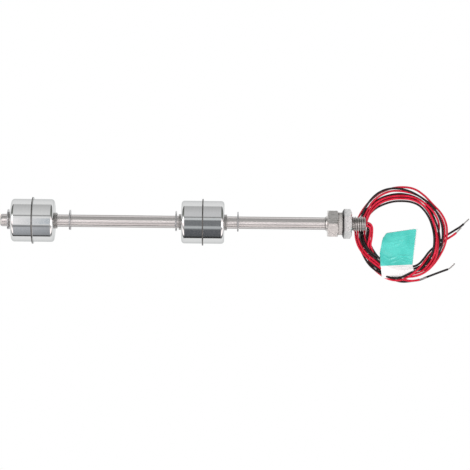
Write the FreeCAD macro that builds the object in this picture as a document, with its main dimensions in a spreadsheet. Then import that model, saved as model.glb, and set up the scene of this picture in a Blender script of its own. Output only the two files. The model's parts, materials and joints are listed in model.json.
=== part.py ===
import FreeCAD, Part
import math
import os

import Sketcher

# A stainless float level switch that lies on a flat surface with its leads coiled beside it.
# The row frame has its origin on the stem's axis at the sealing face of the hexagon.
# +X runs along the fixing thread towards the leads, +Z is up, and the closed stem end is at -X.

DIMENSIONS = [
    ("stem_diameter", 8.0),
    ("stem_wall", 1.0),
    ("stem_edge_radius", 1.0),
    ("end_plug_length", 5.0),
    ("end_plug_cap", 1.8),
    ("weld_gap", 0.02),
    ("below_lower_clip", 5.2),
    ("between_floats", 69.4),
    ("above_upper_clip", 58.5),
    ("groove_diameter", 7.0),
    ("groove_play", 0.1),
    ("clip_diameter", 14.3),
    ("clip_thickness", 0.9),
    ("clip_mouth", 5.84),
    ("clip_relief_diameter", 10.4),
    ("clip_relief_angle", 70.0),
    ("clip_relief_start", -10.0),
    ("clip_edge_radius", 0.8),
    ("float_diameter", 28.0),
    ("float_body_length", 28.0),
    ("float_wall", 0.25),
    ("float_corner_radius", 2.0),
    ("seam_height", 1.2),
    ("seam_thickness", 0.45),
    ("tube_diameter", 10.4),
    ("tube_wall", 0.4),
    ("tube_rim_length", 1.75),
    ("tube_rim_radius", 0.15),
    ("float_travel", 8.0),
    ("lower_float_lift", 0.0),
    ("upper_float_lift", 1.3),
    ("bore_contact_gap", 0.05),
    ("magnet_diameter", 16.0),
    ("magnet_length", 6.0),
    ("magnet_play", 0.05),
    ("magnet_edge", 0.5),
    ("hex_across_flats", 17.0),
    ("hex_length", 7.0),
    ("hex_chamfer_diameter", 16.6),
    ("chamfer_angle", 30.0),
    ("weld_neck_height", 0.8),
    ("weld_neck_length", 1.6),
    ("socket_depth", 5.0),
    ("thread_diameter", 10.0),
    ("thread_length", 18.1),
    ("thread_chamfer", 0.9),
    ("thread_play", 0.05),
    ("lead_bore", 5.2),
    ("lead_bore_flare", 0.4),
    ("seal_diameter", 14.8),
    ("seal_thickness", 2.9),
    ("seal_play", 0.1),
    ("seal_edge_radius", 0.4),
    ("nut_across_flats", 17.0),
    ("nut_thickness", 6.0),
    ("nut_chamfer_diameter", 16.2),
    ("nut_countersink", 0.7),
    ("strip_thickness", 0.5),
    ("strip_play", 0.04),
    ("strip_end_gap", 1.0),
    ("strip_to_hex", 10.0),
    ("reed_diameter", 2.2),
    ("reed_length", 14.0),
    ("reed_pin_diameter", 0.5),
    ("reed_pin_length", 3.0),
    ("lead_diameter", 1.4),
    ("lead_offset", 0.95),
    ("lead_play", 0.02),
    ("lead_on_strip", 6.0),
    ("potting_length", 9.0),
    ("conductor_diameter", 0.9),
    ("coil_outer_diameter", 64.8),
    ("coil_band", 13.0),
    ("coil_height", 4.4),
    ("coil_edge", 1.1),
    ("coil_from_exit", 24.5),
    ("coil_sideways", -6.8),
    ("label_width", 20.8),
    ("label_thickness", 0.25),
    ("label_from_exit", 24.2),
    ("label_flag_length", 23.0),
    ("label_over_coil", 7.8),
    ("label_turn", 5.0),
]

document = FreeCAD.newDocument("float_level_switch")
sheet = document.addObject("Spreadsheet::Sheet", "dims")
for row, (alias, size) in enumerate(DIMENSIONS, start=1):
    cell = f"A{row}"
    sheet.set(cell, str(size))
    sheet.setAlias(cell, alias)
document.recompute()

# Places along the stem, each worked out from the sealing face back to the closed end
STEM_RADIUS = "dims.stem_diameter / 2"
STEM_BORE = "(dims.stem_diameter / 2 - dims.stem_wall)"
FLOAT_LENGTH = "(dims.float_body_length + 2 * dims.tube_rim_length)"
CLIP_SPACING = f"({FLOAT_LENGTH} + dims.float_travel + dims.clip_thickness)"
CLIP_4 = "(-dims.hex_length - dims.above_upper_clip)"
CLIP_3 = f"({CLIP_4} - {CLIP_SPACING})"
CLIP_2 = f"({CLIP_3} - dims.between_floats)"
CLIP_1 = f"({CLIP_2} - {CLIP_SPACING})"
CLIP_PLACES = [CLIP_1, CLIP_2, CLIP_3, CLIP_4]
STEM_END = f"({CLIP_1} - dims.below_lower_clip)"
STEM_TOP = "(-dims.hex_length + dims.socket_depth)"
HALF_FLOAT = f"(dims.clip_thickness / 2 + {FLOAT_LENGTH} / 2)"
LOWER_FLOAT = f"({CLIP_1} + {HALF_FLOAT} + dims.lower_float_lift)"
UPPER_FLOAT = f"({CLIP_3} + {HALF_FLOAT} + dims.upper_float_lift)"

# Lying down, the stem bears on the bottom of each float's bore, so the floats' axis is a little higher
FLOAT_BORE = "(dims.tube_diameter / 2 - dims.tube_wall)"
FLOAT_RISE = f"({FLOAT_BORE} - {STEM_RADIUS} - dims.bore_contact_gap)"
FLOOR = f"({FLOAT_RISE} - dims.float_diameter / 2 - dims.seam_height)"


def size_of(expression):
    return float(sheet.evalExpression(expression))


def new_body(label, place="0", rise="0"):
    """An empty body for one piece, placed along the stem and above its axis."""
    body = document.addObject("PartDesign::Body", label)
    body.Label = label
    body.setExpression(".Placement.Base.x", place)
    body.setExpression(".Placement.Base.z", rise)
    return body


def constrain(sketch, edge, end, along, up):
    """Tie one end of an edge, or an arc's centre, to its two expressions."""
    for kind, expression, axis in (("DistanceX", along, -2), ("DistanceY", up, -1)):
        distance = size_of(expression)
        if abs(distance) < 1e-9:
            sketch.addConstraint(Sketcher.Constraint("PointOnObject", edge, end, axis))
        else:
            index = sketch.addConstraint(Sketcher.Constraint(kind, -1, 1, edge, end, distance))
            sketch.setExpression(f"Constraints[{index}]", expression)


def add_loop(sketch, corners):
    """A closed loop. A corner is (along, up), or (along, up, centre) where an arc leads to the next."""
    points = [FreeCAD.Vector(size_of(c[0]), size_of(c[1]), 0) for c in corners]
    ends = []
    for i, corner in enumerate(corners):
        here, there = points[i], points[(i + 1) % len(points)]
        if len(corner) == 2:
            edge = sketch.addGeometry(Part.LineSegment(here, there), False)
            ends.append((edge, 1, 2))
            continue
        centre = FreeCAD.Vector(size_of(corner[2][0]), size_of(corner[2][1]), 0)
        circle = Part.Circle(centre, FreeCAD.Vector(0, 0, 1), (here - centre).Length)
        anticlockwise = (here - centre).cross(there - centre).z > 0
        first, last = (here, there) if anticlockwise else (there, here)
        turn = [math.atan2(p.y - centre.y, p.x - centre.x) for p in (first, last)]
        if turn[1] < turn[0]:
            turn[1] += 2 * math.pi
        edge = sketch.addGeometry(Part.ArcOfCircle(circle, *turn), False)
        ends.append((edge, 1, 2) if anticlockwise else (edge, 2, 1))
    for i, (edge, start, end) in enumerate(ends):
        following = ends[(i + 1) % len(ends)]
        sketch.addConstraint(Sketcher.Constraint("Coincident", edge, end, following[0], following[1]))
        constrain(sketch, edge, start, corners[i][0], corners[i][1])
        if len(corners[i]) == 3:
            middle = corners[i][2]
            reach = f"sqrt(({corners[i][0]} - {middle[0]})^2 + ({corners[i][1]} - {middle[1]})^2)"
            index = sketch.addConstraint(Sketcher.Constraint("Radius", edge, size_of(reach)))
            sketch.setExpression(f"Constraints[{index}]", reach)


def new_sketch(body, name, plane, loops):
    sketch = body.newObject("Sketcher::SketchObject", name)
    support = next(f for f in body.Origin.OriginFeatures if f.Role == plane)
    sketch.AttachmentSupport = [(support, "")]
    sketch.MapMode = "FlatFace"
    for corners in loops:
        add_loop(sketch, corners)
    return sketch


def turn(body, name, corners, kind="Revolution"):
    """Material or, with kind Groove, a cut, turned about the body's X axis. Corners are (along, radius)."""
    sketch = new_sketch(body, name + "_profile", "XZ_Plane", [corners])
    feature = body.newObject(f"PartDesign::{kind}", name)
    feature.Profile = sketch
    feature.ReferenceAxis = (sketch, ["H_Axis"])
    feature.Angle = 360
    document.recompute()
    return feature


def pad(body, name, loops, length, backwards=False):
    """Material raised from the body's YZ plane. Corners are (sideways, up)."""
    sketch = new_sketch(body, name + "_outline", "YZ_Plane", loops)
    feature = body.newObject("PartDesign::Pad", name)
    feature.Profile = sketch
    feature.setExpression("Length", length)
    feature.Reversed = backwards
    document.recompute()
    return feature


def round_edges(body, name, radius, chosen):
    """Fillet the edges of the body's last feature that the test picks."""
    base = body.Tip
    names = [f"Edge{i}" for i, edge in enumerate(base.Shape.Edges, start=1) if chosen(edge)]
    feature = body.newObject("PartDesign::Fillet", name)
    feature.Base = (base, names)
    feature.setExpression("Radius", radius)
    document.recompute()
    return feature


def is_circle(edge, radius):
    return isinstance(edge.Curve, Part.Circle) and abs(edge.Curve.Radius - radius) < 1e-4


def hexagon(across_flats, first_corner):
    """Six corners. The first one is at first_corner degrees from sideways."""
    reach = f"{across_flats} / 2 / cos(30)"
    turns = [first_corner + 60 * k for k in range(6)]
    return [(f"{reach} * cos({a})", f"{reach} * sin({a})") for a in turns]


def hex_chamfer(face, inwards, chamfer_diameter, across_flats):
    """The triangle that takes a hexagon's corners off, from a face towards its middle."""
    start = f"{chamfer_diameter} / 2"
    outside = f"({across_flats} / 2 / cos(30) + 1)"
    depth = f"({outside} - {start}) * tan(dims.chamfer_angle)"
    return [(face, start), (face, outside), (f"{face} + {inwards} * {depth}", outside)]


def make_stem_tube():
    """The drawn tube that carries everything, with four grooves for the clips."""
    body = new_body("stem_tube")
    far = f"({STEM_END} + dims.end_plug_cap)"
    groove = "dims.groove_diameter / 2"
    half = "(dims.clip_thickness + dims.groove_play) / 2"
    corners = [(far, STEM_BORE), (far, STEM_RADIUS)]
    for place in CLIP_PLACES:
        corners += [(f"{place} - {half}", STEM_RADIUS), (f"{place} - {half}", groove)]
        corners += [(f"{place} + {half}", groove), (f"{place} + {half}", STEM_RADIUS)]
    corners += [(STEM_TOP, STEM_RADIUS), (STEM_TOP, STEM_BORE)]
    turn(body, "tube_wall_turned", corners)
    return body


def make_end_plug():
    """The welded plug with a rounded rim that closes the stem."""
    body = new_body("stem_end_plug", STEM_END)
    edge = "dims.stem_edge_radius"
    spigot = f"({STEM_BORE} - dims.weld_gap)"
    corners = [
        ("0", "0"),
        ("0", f"{STEM_RADIUS} - {edge}", (edge, f"{STEM_RADIUS} - {edge}")),
        (edge, STEM_RADIUS),
        ("dims.end_plug_cap", STEM_RADIUS),
        ("dims.end_plug_cap", spigot),
        ("dims.end_plug_length", spigot),
        ("dims.end_plug_length", "0"),
    ]
    turn(body, "plug_turned", corners)
    return body


def make_fitting():
    """The hexagon with its fixing thread's core, its stem socket and its lead bore."""
    body = new_body("hex_fitting")
    thread = "dims.thread_diameter / 2"
    end, bevel = "dims.thread_length", "dims.thread_chamfer"
    bore = "dims.lead_bore / 2"
    socket = f"({STEM_RADIUS} + dims.weld_gap)"
    back = "-dims.hex_length"
    neck = f"({back} - dims.weld_neck_length)"
    pad(body, "hexagon", [hexagon("dims.hex_across_flats", 90)], "dims.hex_length", backwards=True)
    for name, face, inwards in (("rear_chamfer", back, 1), ("front_chamfer", "0", -1)):
        triangle = hex_chamfer(face, inwards, "dims.hex_chamfer_diameter", "dims.hex_across_flats")
        turn(body, name, triangle, "Groove")
    spigot = [
        ("0", "0"),
        (end, "0"),
        (end, f"{thread} - {bevel}"),
        (f"{end} - {bevel}", thread),
        ("0", thread),
    ]
    turn(body, "thread_core", spigot)
    weld = f"({STEM_RADIUS} + dims.weld_neck_height)"
    slope = [
        (back, "0"),
        (back, weld),
        (f"{neck} + dims.weld_neck_length / 2", weld),
        (neck, socket),
        (neck, "0"),
    ]
    turn(body, "weld_neck", slope)
    bottom = "(-dims.hex_length + dims.socket_depth)"
    flare = "dims.lead_bore_flare"
    hole = [
        (f"{neck} - 1", "0"),
        (f"{neck} - 1", socket),
        (bottom, socket),
        (bottom, bore),
        (f"{end} - {flare}", bore),
        (end, f"{bore} + {flare}"),
        (f"{end} + 1", f"{bore} + {flare}"),
        (f"{end} + 1", "0"),
    ]
    turn(body, "socket_and_bore", hole, "Groove")
    return body


def make_seal():
    """The soft washer between the hexagon and the nut."""
    body = new_body("seal_washer")
    inner = "(dims.thread_diameter / 2 + dims.seal_play)"
    outer = "dims.seal_diameter / 2"
    width = "dims.seal_thickness"
    turn(body, "washer_turned", [("0", inner), ("0", outer), (width, outer), (width, inner)])
    radius = size_of(outer)
    round_edges(body, "soft_edges", "dims.seal_edge_radius", lambda e: is_circle(e, radius))
    return body


def make_nut():
    """The fixing nut, a flat upwards, with both faces chamfered and its bore countersunk."""
    body = new_body("fixing_nut", "dims.seal_thickness")
    width = "dims.nut_thickness"
    bore = "(dims.thread_diameter / 2 + dims.thread_play)"
    sink = "dims.nut_countersink"
    pad(body, "nut_hexagon", [hexagon("dims.nut_across_flats", 0)], width)
    for name, face, inwards in (("rear_chamfer", "0", 1), ("front_chamfer", width, -1)):
        triangle = hex_chamfer(face, inwards, "dims.nut_chamfer_diameter", "dims.nut_across_flats")
        turn(body, "nut_" + name, triangle, "Groove")
    hole = [
        ("-1", "0"),
        ("-1", f"{bore} + {sink}"),
        ("0", f"{bore} + {sink}"),
        (sink, bore),
        (f"{width} - {sink}", bore),
        (width, f"{bore} + {sink}"),
        (f"{width} + 1", f"{bore} + {sink}"),
        (f"{width} + 1", "0"),
    ]
    turn(body, "nut_bore", hole, "Groove")
    return body


def make_clip(number, place):
    """A sprung retaining clip in its groove: three lugs grip the stem, and its mouth points sideways."""
    body = new_body(f"retaining_clip_{number}", f"{place} - dims.clip_thickness / 2")
    outer = "dims.clip_diameter / 2"
    seat = "dims.groove_diameter / 2"
    relief = "dims.clip_relief_diameter / 2"
    half_mouth = "dims.clip_mouth / 2"
    start = "dims.clip_relief_start"
    stop = "(dims.clip_relief_start + dims.clip_relief_angle)"
    mid = ("0", "0")

    def at(radius, angle, side):
        return (f"{side} * {radius} * cos({angle})", f"{radius} * sin({angle})")

    def mouth(radius, side):
        return (f"{side} * {half_mouth}", f"-sqrt(({radius})^2 - ({half_mouth})^2)")

    corners = [
        (*mouth(outer, 1), mid),
        (outer, "0", mid),
        ("0", outer, mid),
        (f"-{outer}", "0", mid),
        mouth(outer, -1),
        (*mouth(seat, -1), mid),
        at(seat, start, -1),
        (*at(relief, start, -1), mid),
        at(relief, stop, -1),
        (*at(seat, stop, -1), mid),
        ("0", seat, mid),
        at(seat, stop, 1),
        (*at(relief, stop, 1), mid),
        at(relief, start, 1),
        (*at(seat, start, 1), mid),
        mouth(seat, 1),
    ]
    pad(body, "clip_blank", [corners], "dims.clip_thickness")
    rim = size_of(outer)
    opening = size_of(half_mouth)

    def is_mouth_corner(edge):
        middle = edge.BoundBox.Center
        straight = isinstance(edge.Curve, Part.Line) and edge.BoundBox.XLength > 1e-3
        at_mouth = abs(abs(middle.y) - opening) < 1e-3
        return straight and at_mouth and math.hypot(middle.y, middle.z) > rim - 1e-3

    round_edges(body, "mouth_corners", "dims.clip_edge_radius", is_mouth_corner)
    # The mouth faces the side that lies to the bottom of the picture
    body.Placement.Rotation = FreeCAD.Rotation(FreeCAD.Vector(1, 0, 0), -90)
    return body


def make_float_tube(name, place):
    """The float's centre tube, whose two rims stand out of the shells and meet the clips."""
    body = new_body(name, place, FLOAT_RISE)
    half = f"{FLOAT_LENGTH} / 2"
    outer = "dims.tube_diameter / 2"
    section = [(f"-{half}", FLOAT_BORE), (f"-{half}", outer), (half, outer), (half, FLOAT_BORE)]
    turn(body, "tube_turned", section)
    radius = size_of(outer)
    round_edges(body, "rim_edges", "dims.tube_rim_radius", lambda e: is_circle(e, radius))
    return body


def make_float_shell(name, place, side):
    """One drawn cup of a float, with the lip that forms half of the welded seam."""
    body = new_body(name, place, FLOAT_RISE)
    radius = "dims.float_diameter / 2"
    wall, corner = "dims.float_wall", "dims.float_corner_radius"
    far = "dims.float_body_length / 2"
    hole = "(dims.tube_diameter / 2 + dims.weld_gap)"
    lip = "dims.seam_thickness"
    ridge = f"({radius} + dims.seam_height)"
    centre = (f"{side} * ({far} - {corner})", f"({radius} - {corner})")
    corners = [
        ("0", f"{radius} - {wall}"),
        ("0", ridge),
        (f"{side} * {lip}", ridge),
        (f"{side} * {lip}", radius),
        (f"{side} * ({far} - {corner})", radius, centre),
        (f"{side} * {far}", f"{radius} - {corner}"),
        (f"{side} * {far}", hole),
        (f"{side} * ({far} - {wall})", hole),
        (f"{side} * ({far} - {wall})", f"{radius} - {corner}", centre),
        (f"{side} * ({far} - {corner})", f"{radius} - {wall}"),
    ]
    turn(body, "cup_turned", corners)
    return body


def make_magnet(name, place):
    """The ring magnet that slides with the float on its centre tube."""
    body = new_body(name, place, FLOAT_RISE)
    half = "dims.magnet_length / 2"
    inner = "(dims.tube_diameter / 2 + dims.magnet_play)"
    outer = "dims.magnet_diameter / 2"
    edge = "dims.magnet_edge"
    corners = [
        (f"-{half}", inner),
        (f"-{half}", f"{outer} - {edge}"),
        (f"-{half} + {edge}", outer),
        (f"{half} - {edge}", outer),
        (half, f"{outer} - {edge}"),
        (half, inner),
    ]
    turn(body, "ring_turned", corners)
    return body


def make_strip():
    """The narrow circuit strip in the stem that carries both reed switches."""
    strip = document.addObject("Part::Box", "circuit_strip")
    strip.Label = "circuit_strip"
    start = f"({STEM_END} + dims.end_plug_length + dims.strip_end_gap)"
    half = f"(sqrt({STEM_BORE}^2 - (dims.strip_thickness / 2)^2) - dims.strip_play)"
    strip.setExpression("Length", f"-dims.hex_length - dims.strip_to_hex - {start}")
    strip.setExpression("Width", f"2 * {half}")
    strip.setExpression("Height", "dims.strip_thickness")
    strip.setExpression(".Placement.Base.x", start)
    strip.setExpression(".Placement.Base.y", f"-{half}")
    strip.setExpression(".Placement.Base.z", "-dims.strip_thickness / 2")
    return strip


def make_reed_switch(name, place):
    """A sealed glass reed with two pins bent down to the strip, at the middle of its float's travel."""
    pins = []
    radius = "dims.reed_diameter / 2"
    for side in (-1, 1):
        reach = "(dims.reed_length / 2 + dims.reed_pin_length)"
        along = document.addObject("Part::Cylinder", f"{name}_pin_{side + 2}")
        along.setExpression("Radius", "dims.reed_pin_diameter / 2")
        along.setExpression("Height", f"dims.reed_pin_length + {radius}")
        along.Placement.Rotation = FreeCAD.Rotation(FreeCAD.Vector(0, 1, 0), 90 * side)
        along.setExpression(".Placement.Base.x", f"{side} * (dims.reed_length / 2 - {radius})")
        down = document.addObject("Part::Cylinder", f"{name}_leg_{side + 2}")
        down.setExpression("Radius", "dims.reed_pin_diameter / 2")
        down.setExpression("Height", radius)
        down.setExpression(".Placement.Base.x", f"{side} * {reach}")
        down.setExpression(".Placement.Base.z", f"-{radius}")
        elbow = document.addObject("Part::Sphere", f"{name}_elbow_{side + 2}")
        elbow.setExpression("Radius", "dims.reed_pin_diameter / 2")
        elbow.setExpression(".Placement.Base.x", f"{side} * {reach}")
        end = document.addObject("Part::Sphere", f"{name}_end_{side + 2}")
        end.setExpression("Radius", radius)
        end.setExpression(".Placement.Base.x", f"{side} * (dims.reed_length / 2 - {radius})")
        pins += [along, down, elbow, end]
    glass = document.addObject("Part::Cylinder", f"{name}_glass")
    glass.setExpression("Radius", radius)
    glass.setExpression("Height", "dims.reed_length - dims.reed_diameter")
    glass.Placement.Rotation = FreeCAD.Rotation(FreeCAD.Vector(0, 1, 0), 90)
    glass.setExpression(".Placement.Base.x", "-(dims.reed_length - dims.reed_diameter) / 2")
    reed = document.addObject("Part::MultiFuse", name)
    reed.Label = name
    reed.Shapes = [glass] + pins
    reed.setExpression(".Placement.Base.x", place)
    reed.setExpression(".Placement.Base.z", f"dims.strip_thickness / 2 + {radius}")
    return reed


# The four leads leave the thread side by side: colour and number, then sideways and up, in offsets
LEADS = [("red_1", 1, 1), ("black_1", 1, -1), ("red_2", -1, 1), ("black_2", -1, -1)]


def make_inner_lead(lead, sideways, up):
    """The stretch of a lead from the circuit strip to the mouth of the thread."""
    tube = document.addObject("Part::Cylinder", f"inner_lead_{lead}")
    tube.Label = f"inner_lead_{lead}"
    start = "(-dims.hex_length - dims.strip_to_hex - dims.lead_on_strip)"
    tube.setExpression("Radius", "dims.lead_diameter / 2")
    tube.setExpression("Height", f"dims.thread_length - {start}")
    tube.Placement.Rotation = FreeCAD.Rotation(FreeCAD.Vector(0, 1, 0), 90)
    tube.setExpression(".Placement.Base.x", start)
    tube.setExpression(".Placement.Base.y", f"{sideways} * dims.lead_offset")
    tube.setExpression(".Placement.Base.z", f"{up} * dims.lead_offset")
    return tube


def make_potting():
    """The resin plug that seals the thread's mouth around the four leads."""
    plug = document.addObject("Part::Cylinder", "resin_plug")
    plug.setExpression("Radius", "dims.lead_bore / 2")
    plug.setExpression("Height", "dims.potting_length")
    holes = []
    for lead, sideways, up in LEADS:
        hole = document.addObject("Part::Cylinder", f"resin_hole_{lead}")
        hole.setExpression("Radius", "dims.lead_diameter / 2 + dims.lead_play")
        hole.setExpression("Height", "dims.potting_length")
        hole.setExpression(".Placement.Base.x", f"-({up}) * dims.lead_offset")
        hole.setExpression(".Placement.Base.y", f"{sideways} * dims.lead_offset")
        holes.append(hole)
    all_holes = document.addObject("Part::MultiFuse", "resin_holes")
    all_holes.Shapes = holes
    potting = document.addObject("Part::Cut", "exit_potting")
    potting.Label = "exit_potting"
    potting.Base = plug
    potting.Tool = all_holes
    potting.Placement.Rotation = FreeCAD.Rotation(FreeCAD.Vector(0, 1, 0), 90)
    potting.setExpression(
        ".Placement.Base.x", "dims.thread_length - dims.lead_bore_flare - dims.potting_length"
    )
    return potting


# A tube's route: straight runs joined by arcs, each as large as its two runs allow
RUN_SHARE = 0.45


def route_wire(points):
    edges = []
    radii = []
    start = points[0]
    for before, corner, after in zip(points, points[1:], points[2:]):
        inward = (corner - before).normalize()
        outward = (after - corner).normalize()
        half_turn = inward.getAngle(outward) / 2
        reach = RUN_SHARE * min((corner - before).Length, (after - corner).Length)
        radius = reach / math.tan(half_turn)
        radii.append(radius)
        enter, leave = corner - inward * reach, corner + outward * reach
        bisector = (outward - inward).normalize()
        sagitta = radius / math.cos(half_turn) - radius
        edges.append(Part.LineSegment(start, enter).toShape())
        edges.append(Part.Arc(enter, corner + bisector * sagitta, leave).toShape())
        start = leave
    edges.append(Part.LineSegment(start, points[-1]).toShape())
    return Part.Wire(edges), radii


def make_tube(name, points, diameter):
    """A round tube along a route, as one solid."""
    wire, radii = route_wire(points)
    section = Part.Wire(Part.Circle(points[0], points[1] - points[0], diameter / 2).toShape())
    solid = wire.makePipeShell([section], True, False)
    expected = math.pi * diameter ** 2 / 4 * wire.Length
    smallest = min(radii) if radii else float("inf")
    print(f"{name}: length {wire.Length:.1f}, smallest radius {smallest:.1f}, "
          f"volume {solid.Volume / expected:.3f} of section times length")
    feature = document.addObject("Part::Feature", name)
    feature.Label = name
    feature.Shape = solid
    feature.Placement = FreeCAD.Placement()
    return feature


# Each lead's stretch from the thread to the coil, before it joins the turns. A point is the distance
# from the exit, the sideways place and the share of the fall from the axis to the top of the coil.
LEAD_STARTS = {
    "red_1": [(2.4, 0.95, 0.0), (5.0, -1.3, 0.12), (5.4, -5.2, 0.42), (4.9, -9.6, 0.76),
              (3.8, -13.8, 1.0)],
    "black_1": [(2.3, 0.95, 0.0), (4.8, -1.0, 0.13), (5.2, -4.4, 0.46), (4.7, -8.8, 0.83),
                (3.9, -12.6, 1.12)],
    "red_2": [(1.9, -0.95, 0.0), (3.4, -2.9, 0.1), (3.5, -6.2, 0.42), (3.0, -10.2, 0.76),
              (2.0, -14.4, 1.0)],
    "black_2": [(1.8, -0.95, 0.0), (3.2, -2.6, 0.12), (3.4, -5.4, 0.46), (2.9, -9.4, 0.83),
                (2.1, -13.2, 1.12)],
}

# Each lead's loose end beyond the coil, as distance from the exit, sideways place and rise above
# the resting surface, and the bare tip that follows it
LEAD_ENDS = {
    "red_1": [(53.5, -10.4, 0.7), (55.9, -8.9, 1.1), (58.8, -6.9, 1.9), (60.5, -5.0, 2.9)],
    "black_1": [(52.9, -7.6, 0.7), (56.8, -5.13, 0.7), (60.8, -2.62, 0.7), (63.9, -0.67, 0.7),
                (65.6, 0.95, 0.7)],
    "red_2": [(32.8, -37.4, 2.12), (36.7, -36.1, 2.12)],
    "black_2": [(32.4, -37.1, 0.7), (36.9, -36.5, 0.7), (41.2, -34.6, 0.7), (45.9, -32.75, 0.7),
                (50.8, -30.85, 0.7), (55.5, -29.1, 0.7)],
}
BARE_TIPS = {
    "red_1": [(60.5, -5.0, 2.9), (63.6, -1.535, 4.725)],
    "black_1": [(65.6, 0.95, 0.7), (69.0, 4.19, 0.7)],
    "red_2": [(36.7, -36.1, 2.12), (41.35, -34.55, 2.12)],
    "black_2": [(55.5, -29.1, 0.7), (57.2, -28.467, 0.7), (59.9, -25.3, 0.7)],
}


def make_lead_start(lead, sideways, up):
    exit_place = size_of("dims.thread_length")
    offset = size_of("dims.lead_offset")
    landing = size_of(f"{FLOOR} + dims.coil_height - dims.lead_diameter / 2")
    points = [FreeCAD.Vector(exit_place, sideways * offset, up * offset)]
    for along, across, fall in LEAD_STARTS[lead]:
        height = up * offset * (1 - fall) + landing * fall
        points.append(FreeCAD.Vector(exit_place + along, across, height))
    return make_tube(f"lead_{lead}_start", points, size_of("dims.lead_diameter"))


def loose_points(route):
    exit_place = size_of("dims.thread_length")
    floor = size_of(FLOOR)
    return [FreeCAD.Vector(exit_place + along, across, floor + rise) for along, across, rise in route]


def make_coil():
    """The outer shape of the coiled leads: a low ring that lies on the resting surface."""
    body = document.addObject("PartDesign::Body", "lead_coil")
    body.Label = "lead_coil"
    outer = "dims.coil_outer_diameter / 2"
    inner = f"({outer} - dims.coil_band)"
    edge, height = "dims.coil_edge", "dims.coil_height"
    corners = [
        (f"{inner} + {edge}", "0"),
        (f"{outer} - {edge}", "0"),
        (outer, edge),
        (outer, f"{height} - {edge}"),
        (f"{outer} - {edge}", height),
        (f"{inner} + {edge}", height),
        (inner, f"{height} - {edge}"),
        (inner, edge),
    ]
    sketch = new_sketch(body, "coil_section", "XZ_Plane", [corners])
    ring = body.newObject("PartDesign::Revolution", "coil_ring")
    ring.Profile = sketch
    ring.ReferenceAxis = (sketch, ["V_Axis"])
    ring.Angle = 360
    body.setExpression(".Placement.Base.x", "dims.thread_length + dims.coil_from_exit")
    body.setExpression(".Placement.Base.y", "dims.coil_sideways")
    body.setExpression(".Placement.Base.z", FLOOR)
    return body


def make_label():
    """The folded label: its loop holds the coiled leads and its two leaves lie together as a flag."""
    body = document.addObject("PartDesign::Body", "label_flag")
    body.Label = "label_flag"
    skin, height = "dims.label_thickness", "dims.coil_height"
    inner_edge = "(dims.coil_sideways - dims.coil_outer_diameter / 2 + dims.coil_band)"
    top = f"({inner_edge} + dims.label_flag_length)"
    fold = f"({inner_edge} - dims.label_over_coil)"
    over = f"({height} + {skin})"
    leaf = f"({height} / 2 + {skin})"
    outside = [
        (top, f"{leaf} - {skin}"),
        (f"{inner_edge} + 2", f"{leaf} - {skin}"),
        (f"{inner_edge} - 2", "0"),
        (f"{fold} + 2", "0"),
        (fold, f"{height} / 2"),
        (f"{fold} + 2", over),
        (f"{inner_edge} - 2", over),
        (f"{inner_edge} + 2", f"{leaf} + {skin}"),
        (top, f"{leaf} + {skin}"),
    ]
    inside = [
        (f"{inner_edge} + 1", leaf),
        (f"{inner_edge} - 2", skin),
        (f"{fold} + 2", skin),
        (f"{fold} + {skin}", f"{height} / 2"),
        (f"{fold} + 2", height),
        (f"{inner_edge} - 2", height),
    ]
    pad(body, "folded_sheet", [outside, inside], "dims.label_width")
    body.Placement.Rotation = FreeCAD.Rotation(FreeCAD.Vector(0, 0, 1), -size_of("dims.label_turn"))
    body.setExpression(
        ".Placement.Base.x", "dims.thread_length + dims.label_from_exit - dims.label_width / 2"
    )
    body.setExpression(".Placement.Base.z", FLOOR)
    return body


sub_parts = [make_stem_tube(), make_end_plug(), make_fitting(), make_seal(), make_nut()]
sub_parts += [make_clip(number, place) for number, place in enumerate(CLIP_PLACES, start=1)]
for name, place in (("lower_float", LOWER_FLOAT), ("upper_float", UPPER_FLOAT)):
    sub_parts.append(make_float_tube(name + "_tube", place))
    sub_parts.append(make_float_shell(name + "_bottom_shell", place, -1))
    sub_parts.append(make_float_shell(name + "_top_shell", place, 1))
    sub_parts.append(make_magnet(name + "_magnet", place))
sub_parts.append(make_strip())
for name, clip in (("lower_reed_switch", CLIP_1), ("upper_reed_switch", CLIP_3)):
    sub_parts.append(make_reed_switch(name, f"{clip} + {HALF_FLOAT} + dims.float_travel / 2"))
sub_parts += [make_inner_lead(*lead) for lead in LEADS]
sub_parts.append(make_potting())
sub_parts += [make_lead_start(*lead) for lead in LEADS]
sub_parts.append(make_coil())
for lead, sideways, up in LEADS:
    covered = loose_points(LEAD_ENDS[lead])
    bare = loose_points(BARE_TIPS[lead])
    sub_parts.append(make_tube(f"lead_{lead}_end", covered, size_of("dims.lead_diameter")))
    sub_parts.append(make_tube(f"bare_tip_{lead}", bare, size_of("dims.conductor_diameter")))
sub_parts.append(make_label())

document.recompute()
for item in document.Objects:
    if "Invalid" in item.State or "Error" in item.State:
        raise RuntimeError(f"{item.Label} is {item.State}")
for piece in sub_parts:
    if piece.Shape.isNull() or not piece.Shape.isValid():
        raise RuntimeError(f"{piece.Label} has no valid shape")

os.makedirs("parts", exist_ok=True)
for piece in sub_parts:
    piece.Shape.exportStep(f"parts/{piece.Label}.step")
print(len(sub_parts), "sub-parts written")
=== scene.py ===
import math

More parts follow.
